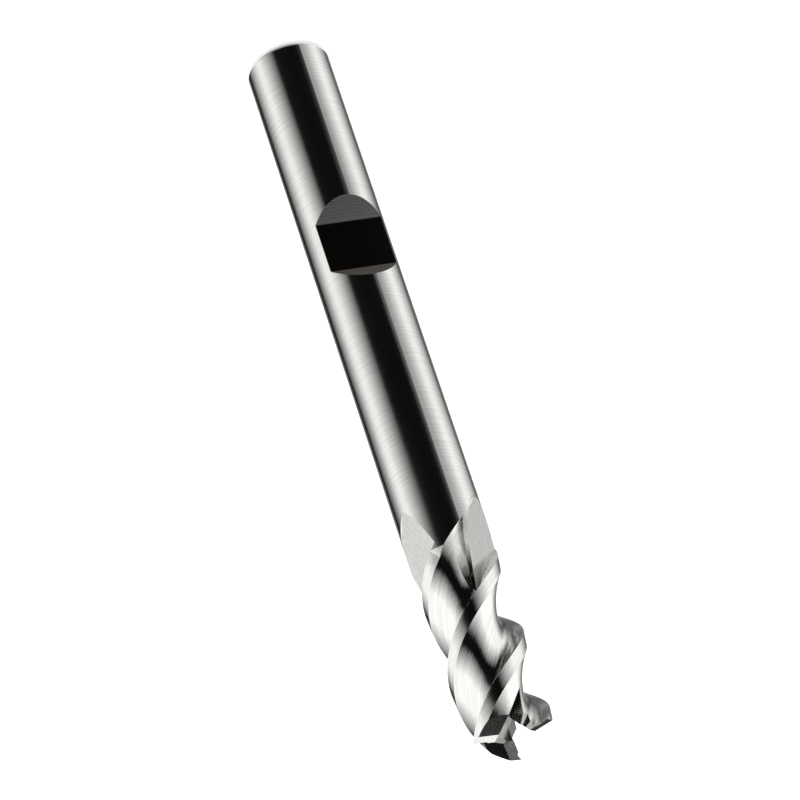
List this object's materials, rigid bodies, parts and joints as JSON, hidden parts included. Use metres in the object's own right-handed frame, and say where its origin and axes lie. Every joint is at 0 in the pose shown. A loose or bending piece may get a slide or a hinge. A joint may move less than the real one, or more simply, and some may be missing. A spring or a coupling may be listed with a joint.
{
  "type": "end mill",
  "caption": "Square end mill with right-hand helical flutes, centre-cutting end teeth, and a straight shank with a sloped clamping flat and a chamfered end.",
  "frame": {"origin": "centre of the shank's flat end face", "axes": "+Z along the tool's axis from the shank's end face to the cutting end; the clamping flat's outward normal lies in the XY plane, 19 degrees from -Y towards -X"},
  "size_m": [0.006, 0.006, 0.057],
  "materials": {
    "end_mill": "fine ground, uncoated"
  },
  "bodies": {
    "root": {"end_mill": "end_mill"}
  },
  "joints": []
}
